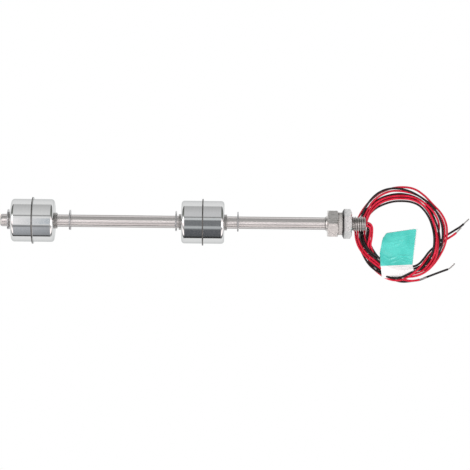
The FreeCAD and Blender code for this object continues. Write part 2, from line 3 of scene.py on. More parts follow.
import bmesh
import bpy
import numpy as np
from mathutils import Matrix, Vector
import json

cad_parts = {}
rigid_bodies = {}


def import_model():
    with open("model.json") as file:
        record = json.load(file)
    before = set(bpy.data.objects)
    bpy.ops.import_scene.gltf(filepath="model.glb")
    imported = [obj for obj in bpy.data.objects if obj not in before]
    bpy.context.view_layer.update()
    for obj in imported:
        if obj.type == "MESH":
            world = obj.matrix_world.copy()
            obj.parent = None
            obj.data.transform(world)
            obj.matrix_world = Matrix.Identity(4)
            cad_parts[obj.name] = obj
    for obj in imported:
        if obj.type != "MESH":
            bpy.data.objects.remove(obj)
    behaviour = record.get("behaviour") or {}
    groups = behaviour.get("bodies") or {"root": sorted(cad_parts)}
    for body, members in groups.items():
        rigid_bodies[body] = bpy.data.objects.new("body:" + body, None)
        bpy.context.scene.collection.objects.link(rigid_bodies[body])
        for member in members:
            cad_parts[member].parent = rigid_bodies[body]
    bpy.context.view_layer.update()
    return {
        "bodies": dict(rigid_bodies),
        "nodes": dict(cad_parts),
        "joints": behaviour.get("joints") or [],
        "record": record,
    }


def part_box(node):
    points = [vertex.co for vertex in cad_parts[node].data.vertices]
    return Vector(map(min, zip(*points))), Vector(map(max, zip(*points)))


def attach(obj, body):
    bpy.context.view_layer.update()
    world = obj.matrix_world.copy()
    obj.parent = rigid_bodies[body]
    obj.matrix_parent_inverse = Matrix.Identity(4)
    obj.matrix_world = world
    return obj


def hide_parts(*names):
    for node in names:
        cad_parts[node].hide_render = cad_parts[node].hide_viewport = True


# The looks of a stainless float level switch, lying on a white surface and seen from above.
# Sizes are in millimetres and become metres where an object is made.
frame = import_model()
MM = 0.001
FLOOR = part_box("lead_coil")[0].z / MM
ROOT = "stem_assembly"
FLOATS = ("lower_float", "upper_float")
CLIPS = [f"retaining_clip_{n}" for n in (1, 2, 3, 4)]
THREAD_END = 18.1
bpy.context.scene.view_settings.view_transform = "Standard"


def link(name, data):
    made = bpy.data.objects.new(name, data)
    bpy.context.collection.objects.link(made)
    return made


# The camera's place in metres, and its lens and sensor in millimetres.
CAMERA_PLACE = (-0.0673, -0.0081, 1.53)
CAMERA_TURN = math.radians(0.65)
CAMERA_LENS = 179
SENSOR_WIDTH = 36
CAMERA_CLIP = (0.1, 10)


def make_camera():
    """Straight above the switch, turned a little, as the photograph was taken."""
    data = bpy.data.cameras.new("camera")
    data.lens = CAMERA_LENS
    data.sensor_width = SENSOR_WIDTH
    data.clip_start, data.clip_end = CAMERA_CLIP
    camera = link("camera", data)
    camera.location = CAMERA_PLACE
    camera.rotation_euler = (0, 0, CAMERA_TURN)
    bpy.context.scene.camera = camera


make_camera()

# The four leads. Each leaves the thread, bends down and runs round the coil, and its end lies loose.
LEAD_DIAMETER = 1.4
TIP_DIAMETER = 0.9
# Where each leaves the thread, from the thread's middle: sideways and up, in steps of LEAD_OFFSET.
LEADS = {"red_1": (1, 1), "black_1": (1, -1), "red_2": (-1, 1), "black_2": (-1, -1)}
LEAD_OFFSET = 0.95
# How high the coil is, and where the middle of a start comes down to it.
COIL_HEIGHT = 4.4
LANDING = FLOOR + COIL_HEIGHT - LEAD_DIAMETER / 2
# The starts: along from the thread's end, across, and the share of the way down to the landing.
LEAD_STARTS = {
    "red_1": [(2.3, 0.95, 0.0), (4.4, -1.3, 0.12), (4.7, -5.2, 0.42), (4.6, -9.6, 0.8),
              (3.9, -13.8, 1.1)],
    "black_1": [(2.3, 0.4, 0.0), (3.3, -1.7, 0.14), (2.7, -5.0, 0.5), (2.9, -8.8, 0.92),
                (3.5, -12.6, 1.22)],
    "red_2": [(1.9, -0.95, 0.0), (3.4, -2.9, 0.1), (3.4, -6.2, 0.42), (2.9, -10.2, 0.8),
              (2.2, -14.0, 1.1)],
    "black_2": [(1.6, -0.95, 0.0), (1.6, -2.6, 0.12), (1.3, -5.4, 0.5), (1.5, -9.4, 0.94),
                (2.5, -13.2, 1.24)],
}
# The loose ends and the bare tips: along from the thread's end, across, and above the floor.
LEAD_ENDS = {
    "red_1": [(53.5, -10.0, 0.7), (55.9, -8.4, 1.1), (58.7, -6.6, 1.9), (60.5, -5.0, 2.9)],
    "black_1": [(52.9, -7.6, 0.7), (56.8, -5.13, 0.7), (60.8, -2.62, 0.7), (63.9, -0.67, 0.7),
                (65.6, 0.95, 0.7)],
    "red_2": [(32.8, -37.4, 2.12), (36.7, -36.1, 2.12)],
    "black_2": [(32.4, -37.1, 0.7), (36.9, -36.5, 0.7), (41.2, -34.6, 0.7), (45.9, -32.75, 0.7),
                (50.8, -30.85, 0.7), (55.5, -29.1, 0.7)],
}
BARE_TIPS = {
    "red_1": [(60.5, -5.0, 2.9), (63.6, -1.535, 4.725)],
    "black_1": [(65.6, 0.95, 0.7), (69.0, 4.19, 0.7)],
    "red_2": [(36.7, -36.1, 2.12), (41.35, -34.55, 2.12)],
    "black_2": [(55.5, -29.1, 0.7), (57.2, -28.467, 0.7), (59.9, -25.3, 0.7)],
}

# The turns of the coil, two and a quarter, anticlockwise seen from above: at each 15 degrees round its
# middle, from 210 on, the distance from it and the height of the lead's middle above the floor.
COIL_MIDDLE = (42.6, -6.8)
TURN_STEP = 15
FIRST_ANGLE = 210
TURNS = {
    "red_1": [
        (22, 2.1), (24, 1.2), (25, 0.75), (25.5, 0.75), (26.2, 0.75), (27.2, 0.75), (28.2, 0.75),
        (27.7, 0.8), (27.4, 1.2), (28, 2.4), (28.7, 2.7), (29.3, 1.4), (28.7, 0.9), (27.3, 0.8),
        (28, 0.75), (28.4, 0.75), (28.9, 0.9), (30.1, 1.3), (29.6, 1.6), (28.9, 2.1), (27.2, 2.1),
        (28.6, 3.2), (30, 2.1), (28.7, 2.2), (26.4, 2.3), (24.5, 2.1), (24.2, 2.1), (24.6, 2.1),
        (25.3, 2.1), (27.2, 2.1), (27.9, 2.3), (26.8, 2.8), (25.5, 3.3), (23.8, 3.6), (22.8, 3.5),
        (22.6, 2.3), (23.3, 2.2), (24.7, 2.2), (24.7, 2.1), (24.8, 2), (24.4, 2), (24.9, 2), (25.6, 2),
        (26, 2.1), (25.7, 2), (24.9, 1.4), (24.3, 0.75), (25.2, 0.75), (25.9, 0.75), (28.6, 0.75),
        (29.9, 0.8), (30.9, 2), (30.2, 2.9), (26.9, 4.2), (24.1, 3.3), (22.6, 1.6), (22.7, 0.7),
        (25.8, 0.7),
    ],
    "black_1": [
        (21.3, 0.9), (21.6, 0.75), (22, 0.75), (22.5, 0.75), (23.2, 0.75), (24.2, 0.75), (25.2, 0.75),
        (26.2, 0.8), (26.6, 1.8), (26.5, 2.6), (25.3, 3.3), (24.8, 2.2), (24.8, 1.2), (25.4, 0.75),
        (26.5, 0.75), (26.9, 0.75), (27.5, 0.75), (27.6, 0.75), (28, 0.75), (28.3, 0.75), (28.7, 0.75),
        (28.8, 0.75), (28.8, 0.75), (28.8, 0.75), (28.8, 0.75), (29.3, 1.8), (28.7, 2.1), (29.4, 2.8),
        (28.4, 3.6), (25.4, 2.9), (26.1, 2), (25, 1.9), (23.9, 2.4), (22.4, 2.9), (21.4, 3.4),
        (21, 2.2), (21.3, 1.2), (22.1, 0.75), (23.2, 0.75), (22.9, 0.75), (22.5, 0.75), (22.9, 0.75),
        (23.5, 0.75), (24.8, 0.75), (25.6, 0.75), (25.8, 0.75), (25.8, 0.75), (24.9, 2.4), (23.3, 3.6),
        (21.2, 2.3), (21.2, 1.9), (21.4, 1.9), (21.6, 1.6), (21.6, 0.9), (21.9, 0.7), (21.1, 0.7),
        (21.1, 0.7), (24, 0.7),
    ],
    "red_2": [
        (23.5, 2.1), (25.3, 1.4), (26.5, 0.75), (27, 0.75), (27.7, 0.75), (28.7, 0.75), (29.7, 0.75),
        (29.2, 0.8), (28.7, 1.2), (29.3, 2.4), (30.1, 2.8), (30.8, 1.8), (30.1, 1), (28.7, 0.75),
        (30.1, 0.75), (31.8, 0.75), (31.65, 0.75), (31.4, 0.75), (31.2, 0.75), (30.6, 0.75),
        (30.7, 0.75), (31.5, 0.9), (31.1, 0.9), (30, 1.3), (27.9, 2.1), (26, 2.1), (25.7, 2.1),
        (26.1, 2.1), (26.8, 2.1), (28.8, 2.1), (29.3, 2.3), (28.2, 3.3), (26.9, 3.5), (25, 3.4),
        (24.4, 2.2), (26.3, 1), (26.1, 1.9), (26.1, 2.2), (26.1, 2.1), (26.2, 2), (25.9, 2), (26.3, 2),
        (27, 2), (27.4, 2.1), (26.4, 3.2), (25.2, 2.8), (24.6, 2.1), (23.5, 1.2), (24.4, 0.75),
        (27.1, 0.75), (28, 0.75), (28.5, 0.75), (29.3, 0.8),
    ],
    "black_2": [
        (22.8, 0.9), (23.1, 0.75), (23.5, 0.75), (24, 0.75), (24.7, 0.75), (25.7, 0.75), (26.7, 0.75),
        (28.3, 2.1), (28.3, 2.4), (27.9, 3), (27.6, 3), (28, 2.3), (27.7, 2.2), (28, 2.2), (27.6, 2.1),
        (28.9, 2), (30.4, 1.4), (31.8, 2.1), (31.9, 2.1), (30.5, 2.2), (29.2, 2), (27.9, 2),
        (27.3, 0.75), (26.4, 2.1), (24.9, 2.5), (22.8, 2.2), (22.7, 2.1), (22.9, 2.1), (23.3, 2.1),
        (23.4, 1.9), (23.8, 0.9), (23.5, 0.8), (23.4, 2.2), (22.9, 2.2), (22.1, 2.1), (21.8, 0.8),
        (22.4, 0.75), (23.9, 0.75), (24.9, 0.75), (25.2, 0.75), (25.1, 0.75), (25.5, 0.75), (26, 0.75),
        (26.3, 0.75), (27.1, 0.75), (27.4, 1.2), (28, 2.05), (27.3, 0.75), (27.3, 0.75), (27.9, 2),
        (27.3, 2.1), (29.4, 1.2), (30.9, 0.75),
    ],
}

# How the turns settle. Two leads keep SPACING between their middles, and a slit between two that lie
# side by side closes where it is narrower than SLIT and in one of the spans of the angle.
SPACING = LEAD_DIAMETER * 1.04
BESIDE = LEAD_DIAMETER * 2
SLIT = 0.8
CLOSED_SPANS = [(165, 240), (285, 332), (0, 40)]
SETTLE_ROUNDS = 900
# The share of each round that draws a point home, in line with its neighbours, away or together.
TO_HOME = 0.05
TO_LINE = 0.25
APART = 0.25
TOGETHER = 0.07
# Under 1, so that two leads which meet give way more in height than sideways.
SIDEWAYS = 0.8
# Where two leads are compared, as shares of the way from one step to the next.
BETWEEN_STEPS = (0.0, 0.25, 0.5, 0.75)
LEAST_DISTANCE = 1e-6


def start_points(lead):
    sideways, up = LEADS[lead]
    points = [(THREAD_END, sideways * LEAD_OFFSET, up * LEAD_OFFSET)]
    for along, across, fall in LEAD_STARTS[lead]:
        height = up * LEAD_OFFSET * (1 - fall) + LANDING * fall
        points.append((THREAD_END + along, across, height))
    return points


def loose_points(route):
    return [(THREAD_END + along, across, FLOOR + rise) for along, across, rise in route]


def coil_point(step, distance, height):
    angle = math.radians(step)
    return (
        COIL_MIDDLE[0] + distance * math.cos(angle),
        COIL_MIDDLE[1] + distance * math.sin(angle),
        FLOOR + height,
    )


def facing_points(steps, last):
    """Two rows of numbers of points that lie at the same angle, apart from each lead's last point."""
    pairs = [
        (i, j)
        for i in range(len(steps))
        for j in range(i + 1, len(steps))
        if (steps[i] - steps[j]) % 360 == 0 and not last[i] and not last[j]
    ]
    return np.array(pairs).T


def settle():
    """Each lead's turns as points in space, pushed apart until no two leads meet.

    All leads have a point at every step, so the leads that cross a step's upright plane are compared
    there and at three places on the way to the next step."""
    spans = {}
    steps, start = [], []
    for lead, turns in TURNS.items():
        spans[lead] = range(len(steps), len(steps) + len(turns))
        steps += [FIRST_ANGLE + TURN_STEP * k for k in range(len(turns))]
        start += turns
    steps, start = np.array(steps), np.array(start)
    first = [span[0] for span in spans.values()]
    last = np.zeros(len(steps), bool)
    last[[span[-1] for span in spans.values()]] = True
    inner = ~last
    inner[first] = False
    middle = np.flatnonzero(inner)
    one, two = facing_points(steps, last)
    closed = np.zeros(len(one), bool)
    for low, high in CLOSED_SPANS:
        closed |= (steps[one] % 360 >= low) & (steps[one] % 360 <= high)
    place = start.copy()
    for _ in range(SETTLE_ROUNDS):
        place += TO_HOME * (start - place)
        offset = place - start
        place[middle] += TO_LINE * ((offset[middle - 1] + offset[middle + 1]) / 2 - offset[middle])
        for share in BETWEEN_STEPS:
            between = place.copy()
            between[:-1] = place[:-1] * (1 - share) + place[1:] * share
            gap = between[one] - between[two]
            slit = np.abs(gap[:, 0]) - SPACING
            narrow = closed & (slit > 0) & (slit < SLIT) & (np.abs(gap[:, 1]) < BESIDE)
            closing = np.where(narrow, np.sign(gap[:, 0]) * slit * TOGETHER, 0)
            gap[:, 0] *= SIDEWAYS
            distance = np.maximum(np.hypot(gap[:, 0], gap[:, 1]), LEAST_DISTANCE)
            lack = np.maximum(SPACING - distance, 0)
            push = gap / distance[:, None] * (lack * APART)[:, None]
            push[:, 0] -= closing
            for index, sign in ((one, 1), (two, -1)):
                np.add.at(place, index, sign * push * (1 - share))
                np.add.at(place, index + 1, sign * push * share)
        place[:, 1] = np.maximum(place[:, 1], LEAD_DIAMETER / 2)
        place[first] = start[first]
    return {lead: [coil_point(steps[i], *place[i]) for i in span] for lead, span in spans.items()}


def make_spline(name, points, diameter):
    """A round cord whose line is a smooth spline with these control points."""
    curve = bpy.data.curves.new(name, "CURVE")
    curve.dimensions = "3D"
    spline = curve.splines.new("NURBS")
    spline.points.add(len(points) - 1)
    for point, place in zip(spline.points, points):
        point.co = (*(Vector(place) * MM), 1)
        point.radius = diameter / 2 * MM
    spline.order_u = 3
    spline.use_endpoint_u = True
    spline.resolution_u = 8
    curve.bevel_depth = 1.0
    curve.bevel_resolution = 4
    curve.use_fill_caps = True
    return link(name, curve)


def make_leads():
    made = {}
    turns = settle()
    for lead in LEADS:
        points = start_points(lead) + turns[lead] + loose_points(LEAD_ENDS[lead])
        cord = make_spline(f"lead_{lead}", points, LEAD_DIAMETER)
        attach(cord, ROOT)
        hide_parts(f"lead_{lead}_start", f"lead_{lead}_end", "lead_coil")
        made[lead] = cord
    return made


cords = make_leads()


def line_of(cord):
    """The points of a cord's smooth line, in millimetres."""
    bare = cord.data.copy()
    bare.bevel_depth = 0
    bare.use_fill_caps = False
    carrier = link("line", bare)
    mesh = bpy.data.meshes.new_from_object(carrier)
    points = [v.co / MM for v in mesh.vertices]
    bpy.data.objects.remove(carrier)
    bpy.data.meshes.remove(mesh)
    bpy.data.curves.remove(bare)
    return points


# The label is one film folded in two round the lowest strands: the upper leaf's two sides, from its
# free top edge down to the fold, and how far the fold bows down between them.
LABEL_LEFT = [(31.4, -5.9), (30.4, -8.2), (29.6, -11.8), (28.4, -19.1), (28.9, -27.7), (29.8, -34.1)]
LABEL_RIGHT = [(52.4, -2.6), (51.9, -7.5), (51.4, -12.5), (50.6, -20.3), (50.0, -26.4), (50.9, -29.9)]
LABEL_BOW = 3.0
BOW_POWER = 0.8
# How far the free corners are drawn down, over which share of the width, and how fast that fades.
CORNER_DROPS = (2.08, 0.56)
CORNER_WIDTH = 0.09
CORNER_FADE = 12
# The film's thickness, its points across and along, and where its teal part ends at the two sides.
LABEL_FILM = 0.16
LABEL_ACROSS = 84
LABEL_ALONG = 114
TEAL_ROWS = 84
TEAL_ENDS = (-27.5, -26.3)
# The film lies on strands no higher than UNDER_LABEL, left of and below LABEL_REACH. NEAR is where it
# touches them, and CLEAR how far its middle stays from a strand's.
UNDER_LABEL = 3.1
LABEL_REACH = (58, -4)
NEAR = LEAD_DIAMETER / 2 + 0.1
CLEAR = LEAD_DIAMETER / 2 + 0.12
# How high it lies where nothing carries it: a level, a lift to the right, and two waves, each with its
# height and how many radians it runs across and along.
LABEL_FREE = 1.3
RIGHT_LIFT = 0.7
LOW_WAVE = (0.35, 5.1, 3)
LONG_WAVE = (0.18, 2.2, 9)
# The upper part, as a share of the length, keeps that height, and the rest sags between what holds it.
STIFF_SHARE = 0.62
SAG_ROUNDS = 420
SAG_PULL = 0.6
# The fold: its steps, how far it stands out, and how it fans out from its middle.
FOLD_STEPS = 12
FOLD_REACH = 0.5
FOLD_MIDDLE = 40.5
FOLD_FAN = 0.05
# The lower leaf: its height, how near it may come to the upper one where that lifts it, the share of
# the length over which it is lifted, and how far its free edge is shifted.
LOWER_LEAF = LABEL_FILM / 2 + 0.02
LEAF_GAP = 0.35
LIFTED_SHARE = 0.45
LOWER_SHIFT = (0.75, 0.2)
# Creases pressed into the film: their two ends as shares of its width and length, and their height.
LABEL_SIZE = (21.0, 26.0)
CREASE_WIDTH = 0.42
CREASE_FADE = 0.8
CREASES = [
    (0.16, 0.23, 0.6, 0.215, 0.26), (0.22, 0.3, 0.52, 0.295, 0.2), (0.3, 0.12, 0.8, 0.1, 0.12),
    (0.5, 0.36, 0.94, 0.33, 0.14), (0.5, 0.53, 0.98, 0.57, 0.34), (0.62, 0.58, 0.97, 0.66, 0.3),
    (0.66, 0.64, 0.9, 0.7, 0.24), (0.84, 0.56, 0.97, 0.61, 0.3), (0.24, 0.6, 0.5, 0.55, 0.26),
    (0.3, 0.68, 0.56, 0.63, 0.22), (0.1, 0.5, 0.3, 0.62, 0.16), (0.4, 0.78, 0.9, 0.8, 0.14),
]


def leaf_places():
    """The upper leaf's places seen from above, row by row from the free edge to the fold."""
    t = np.linspace(0, 1, LABEL_ACROSS)
    sides = []
    for points, teal_end in zip((LABEL_LEFT, LABEL_RIGHT), TEAL_ENDS):
        top, bottom = points[0][1], points[-1][1]
        levels = np.concatenate([
            np.linspace(top, teal_end, TEAL_ROWS + 1)[:-1],
            np.linspace(teal_end, bottom, LABEL_ALONG - TEAL_ROWS),
        ])
        places = np.array(points)
        sides.append((np.interp(-levels, -places[:, 1], places[:, 0]), levels))
    (left_x, left_y), (right_x, right_y) = sides
    x = left_x[:, None] * (1 - t) + right_x[:, None] * t
    y = left_y[:, None] * (1 - t) + right_y[:, None] * t
    below = np.maximum(np.arange(LABEL_ALONG) - TEAL_ROWS, 0) / (LABEL_ALONG - 1 - TEAL_ROWS)
    y -= LABEL_BOW * (4 * t * (1 - t))[None, :] ** BOW_POWER * below[:, None]
    share = np.linspace(0, 1, LABEL_ALONG)
    corner = 1 - np.minimum(np.abs(np.array([0.0, 1.0])[:, None] - t) / CORNER_WIDTH, 1)
    drop = (corner**2 * np.array(CORNER_DROPS)[:, None]).sum(axis=0)
    y -= drop[None, :] * np.exp(-share * CORNER_FADE)[:, None]
    return x, y


def wave(form, t, share):
    height, across, along = form
    return height * np.sin(across * t + along * share)


def crease_heights(t, share):
    """How high the creases stand at these shares of the film's width and length."""
    heights = np.zeros((LABEL_ALONG, LABEL_ACROSS))
    wide, long = LABEL_SIZE
    for t0, s0, t1, s1, rise in CREASES:
        run = np.array([(t1 - t0) * wide, (s1 - s0) * long])
        off_x, off_y = (t - t0) * wide, (share - s0) * long
        along = np.clip((off_x * run[0] + off_y * run[1]) / (run @ run), 0, 1)
        away = np.hypot(off_x - along * run[0], off_y - along * run[1])
        ends = 1 - (2 * along - 1) ** 2 * CREASE_FADE
        heights = np.maximum(heights, rise * ends * np.exp(-((away / CREASE_WIDTH) ** 2)))
    return heights


def leaf_heights(x, y, strands):
    """How high the upper leaf lies: it sags between what it rests on, and lifts a little when free."""
    rest = np.zeros_like(x)
    for point in strands:
        if point.z - FLOOR > UNDER_LABEL:
            continue
        away = np.hypot(x - point.x, y - point.y)
        lift = point.z - FLOOR + np.sqrt(np.maximum(CLEAR**2 - away**2, 0))
        rest = np.where(away < NEAR, np.maximum(rest, lift), rest)
    share = np.linspace(0, 1, LABEL_ALONG)[:, None]
    t = np.linspace(0, 1, LABEL_ACROSS)[None, :]
    free = LABEL_FREE + RIGHT_LIFT * t * (1 - share) + wave(LOW_WAVE, t, share) * share
    free += wave(LONG_WAVE, t, share)
    height = np.maximum(rest, free)
    floor = np.maximum(rest, free * (share < STIFF_SHARE))
    for _ in range(SAG_ROUNDS):
        padded = np.pad(height, 1, mode="reflect", reflect_type="odd")
        even = (padded[:-2, 1:-1] + padded[2:, 1:-1] + padded[1:-1, :-2] + padded[1:-1, 2:]) / 4
        height = np.maximum(height * (1 - SAG_PULL) + even * SAG_PULL, floor)
    return height + crease_heights(t, share)


def film_rows():
    """The film's middle in rows of points: down the upper leaf, round the fold and up the lower one."""
    x, y = leaf_places()
    right, top = LABEL_REACH
    strands = [p for cord in cords.values() for p in line_of(cord) if p.x < right and p.y < top]
    heights = leaf_heights(x, y, strands)
    rows = [(x[k], y[k], heights[k]) for k in range(LABEL_ALONG)]
    last_x, last_y, last_z = rows[-1]
    middle = (last_z + LOWER_LEAF) / 2
    reach = (last_z - LOWER_LEAF) / 2
    for step in range(1, FOLD_STEPS):
        turn = math.pi * step / FOLD_STEPS
        rows.append((
            last_x + (last_x - FOLD_MIDDLE) * FOLD_FAN * FOLD_REACH * math.sin(turn),
            last_y - FOLD_REACH * math.sin(turn),
            middle + reach * math.cos(turn),
        ))
    t = np.linspace(0, 1, LABEL_ACROSS)
    shift_x, shift_y = LOWER_SHIFT
    for k in range(LABEL_ALONG - 1, -1, -1):
        share = k / (LABEL_ALONG - 1)
        lift = np.maximum(heights[k] - LEAF_GAP - LOWER_LEAF, 0) * max(0.0, 1 - share / LIFTED_SHARE)
        rows.append((x[k] + shift_x * (1 - share) * t**3, y[k] + shift_y * (1 - share), LOWER_LEAF + lift))
    return [[Vector(p) for p in zip(*row)] for row in rows]


def make_label():
    """The film as one closed skin, teal outside on the upper leaf and white elsewhere."""
    places = film_rows()
    count = len(places)
    bm = bmesh.new()
    outer, inner = [], []
    for i in range(count):
        outer.append([])
        inner.append([])
        for j in range(LABEL_ACROSS):
            ahead = places[min(i + 1, count - 1)][j] - places[max(i - 1, 0)][j]
            across = places[i][min(j + 1, LABEL_ACROSS - 1)] - places[i][max(j - 1, 0)]
            normal = across.cross(ahead).normalized()
            for skin, sign in ((outer, -0.5), (inner, 0.5)):
                place = places[i][j] + Vector((0, 0, FLOOR)) + normal * sign * LABEL_FILM
                skin[i].append(bm.verts.new(place * MM))
    for i in range(count - 1):
        for j in range(LABEL_ACROSS - 1):
            bm.faces.new((outer[i][j], outer[i][j + 1], outer[i + 1][j + 1], outer[i + 1][j]))
            bm.faces.new((inner[i][j], inner[i + 1][j], inner[i + 1][j + 1], inner[i][j + 1]))
    for i in range(count - 1):
        for j in (0, LABEL_ACROSS - 1):
            bm.faces.new((outer[i][j], outer[i + 1][j], inner[i + 1][j], inner[i][j]))
    for i in (0, count - 1):
        for j in range(LABEL_ACROSS - 1):
            bm.faces.new((outer[i][j], outer[i][j + 1], inner[i][j + 1], inner[i][j]))
    teal = {vertex for row in outer[: TEAL_ROWS + 1] for vertex in row}
    for face in bm.faces:
        face.material_index = 0 if teal.issuperset(face.verts) else 1
        face.smooth = True
    bmesh.ops.recalc_face_normals(bm, faces=bm.faces)
    mesh = bpy.data.meshes.new("label")
    bm.to_mesh(mesh)
    bm.free()
    label = link("label", mesh)
    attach(label, ROOT)
    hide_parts("label_flag")
    return label


label = make_label()

# The bare tips: six tinned strands laid up round a seventh, the strands' diameter, and how far along
# they have gone once round.
OUTER_STRANDS = 6
STRAND = 0.3
STRAND_SIDES = 8
LAY = 6.0
STRAIGHT_STEPS = 30


def frames_along(line):
    """Each point of a line with two directions square to it, which don't twist along the line."""
    frames = []
    side = None
    for i, place in enumerate(line):
        ahead = (line[min(i + 1, len(line) - 1)] - line[max(i - 1, 0)]).normalized()
        side = ahead.orthogonal() if side is None else side - ahead * side.dot(ahead)
        side = side.normalized()
        frames.append((place, side, ahead.cross(side)))
    return frames


def point_round(frame, turn, radius):
    place, side, up = frame
    return place + (side * math.cos(turn) + up * math.sin(turn)) * radius


def tube(bm, line, radius, sides):
    """A closed tube along a line of points."""
    turns = [2 * math.pi * k / sides for k in range(sides)]
    rings = [
        [bm.verts.new(point_round(frame, turn, radius) * MM) for turn in turns]
        for frame in frames_along(line)
    ]
    for one, two in zip(rings, rings[1:]):
        for k in range(sides):
            bm.faces.new((one[k], one[(k + 1) % sides], two[(k + 1) % sides], two[k])).smooth = True
    bm.faces.new(rings[0][::-1])
    bm.faces.new(rings[-1])


def tip_line(lead):
    points = loose_points(BARE_TIPS[lead])
    if len(points) == 2:
        first, last = (Vector(p) for p in points)
        return [first.lerp(last, k / STRAIGHT_STEPS) for k in range(STRAIGHT_STEPS + 1)]
    guide = make_spline("guide", points, TIP_DIAMETER)
    line = line_of(guide)
    bpy.data.objects.remove(guide)
    return line


def make_tip(lead):
    """Strands in a slow twist along the tip's own line."""
    line = tip_line(lead)
    lengths = [(two - one).length for one, two in zip(line, line[1:])]
    runs = [sum(lengths[:i]) for i in range(len(line))]
    bm = bmesh.new()
    tube(bm, line, STRAND / 2, STRAND_SIDES)
    for strand in range(OUTER_STRANDS):
        path = [
            point_round(frame, 2 * math.pi * (strand / OUTER_STRANDS + run / LAY), STRAND)
            for frame, run in zip(frames_along(line), runs)
        ]
        tube(bm, path, STRAND / 2, STRAND_SIDES)
    mesh = bpy.data.meshes.new(f"tinned_tip_{lead}")
    bm.to_mesh(mesh)
    bm.free()
    tip = link(f"tinned_tip_{lead}", mesh)
    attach(tip, ROOT)
    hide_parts(f"bare_tip_{lead}")
    return tip


tips = {lead: make_tip(lead) for lead in LEADS}

# The fixing thread, M10 with a pitch of 1.5: its radii, and the radius at its end with the share by
# which the chamfer there opens.
PITCH = 1.5
CREST, ROOT_RADIUS = 4.98, 4.08
THREAD_MOUTH = 4.1
CHAMFER = 0.9
ROUND = 72
# Radius shares at steps of a pitch: root flat, flank, crest flat, flank.
THREAD_FORM = [
    (0.0, 0), (0.125, 0), (0.28, 0.5), (0.43, 0.97), (0.5, 1), (0.57, 0.97), (0.72, 0.5), (0.875, 0),
]
# The faces of the plain spigot lie between these radii, from the hexagon's face on.
SPIGOT_RADII = (3.9, 5.1)
SPIGOT_START = -0.01
FACE_DEPTH = 0.05
# Faces shorter than this, where the thread is cut off at its two ends, are left out.
SHORTEST = 0.02
# Points nearer to each other than this become one.
MERGE = 0.001


def on_spigot(face):
    low, high = SPIGOT_RADII
    reach = [math.hypot(v.co.y, v.co.z) / MM for v in face.verts]
    along = [v.co.x / MM for v in face.verts]
    return min(reach) > low and max(reach) < high and min(along) > SPIGOT_START and max(along) > FACE_DEPTH


def thread_ring(turn, share, level):
    """One turn of a helical line, cut off at the thread's two ends."""
    ring = []
    for k in range(ROUND + 1):
        x = min(max((turn - 1 + share + k / ROUND) * PITCH, 0.0), THREAD_END)
        radius = ROOT_RADIUS + (CREST - ROOT_RADIUS) * level
        radius = min(radius, THREAD_MOUTH + (THREAD_END - x) * CHAMFER)
        angle = 2 * math.pi * k / ROUND
        ring.append(Vector((x, radius * math.cos(angle), radius * math.sin(angle))) * MM)
    return ring


def make_threaded_fitting():
    """The CAD fitting with a real thread in place of its plain spigot."""
    bm = bmesh.new()
    bm.from_mesh(frame["nodes"]["hex_fitting"].data)
    bmesh.ops.delete(bm, geom=[face for face in bm.faces if on_spigot(face)], context="FACES")
    rings = [
        [bm.verts.new(place) for place in thread_ring(turn, share, level)]
        for turn in range(int(THREAD_END / PITCH) + 2)
        for share, level in THREAD_FORM
    ]
    for one, two in zip(rings, rings[1:]):
        for k in range(ROUND):
            corners = (one[k], two[k], two[k + 1], one[k + 1])
            along = [v.co.x for v in corners]
            if max(along) - min(along) > SHORTEST * MM:
                bm.faces.new(corners).smooth = True
    loose = [v for v in bm.verts if not v.link_faces]
    bmesh.ops.delete(bm, geom=loose, context="VERTS")
    bmesh.ops.remove_doubles(bm, verts=bm.verts, dist=MERGE * MM)
    mesh = bpy.data.meshes.new("threaded_fitting")
    bm.to_mesh(mesh)
    bm.free()
    fitting = link("threaded_fitting", mesh)
    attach(fitting, ROOT)
    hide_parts("hex_fitting")


make_threaded_fitting()

# The weld's outline across the seam: places along the stem and heights above the lips.
BEAD_FORM = [(-0.47, -1.0), (-0.47, 0.0), (-0.33, 0.02), (0.2, 0.02), (0.36, 0.0), (0.36, -1.0)]
BEAD_RIPPLES = 90
RIPPLE_STEPS = 4
RIPPLE_HEIGHT = 0.02


def make_bead(name):
    """The weld that joins a float's two cups, laid over their lips in small overlapping ripples."""
    low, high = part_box(f"{name}_bottom_shell")
    middle = Vector((high.x, (low.y + high.y) / 2, (low.z + high.z) / 2)) / MM
    crest = (high.y - low.y) / 2 / MM
    bm = bmesh.new()
    rings = []
    count = BEAD_RIPPLES * RIPPLE_STEPS
    for k in range(count):
        angle = 2 * math.pi * k / count
        lap = RIPPLE_HEIGHT * abs(math.sin(angle * BEAD_RIPPLES / 2))
        ring = []
        for along, rise in BEAD_FORM:
            radius = crest + rise + lap
            place = middle + Vector((along, radius * math.sin(angle), radius * math.cos(angle)))
            ring.append(bm.verts.new(place * MM))
        rings.append(ring)
    for one, two in zip(rings, rings[1:] + rings[:1]):
        for k in range(len(one)):
            after = (k + 1) % len(one)
            bm.faces.new((one[k], one[after], two[after], two[k])).smooth = True
    bmesh.ops.recalc_face_normals(bm, faces=bm.faces)
    mesh = bpy.data.meshes.new(f"{name}_weld_bead")
    bm.to_mesh(mesh)
    bm.free()
    bead = link(f"{name}_weld_bead", mesh)
    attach(bead, name)


for name in FLOATS:
    make_bead(name)

# The white sheet under the switch, in metres: from its front to its back edge, and its width.
SHEET_DEPTH = (-0.172, 0.19)
SHEET_WIDTH = 8
SHEET_SHADE = (0.8, 0.8, 0.8, 1)
SHEET_ROUGHNESS = 0.7


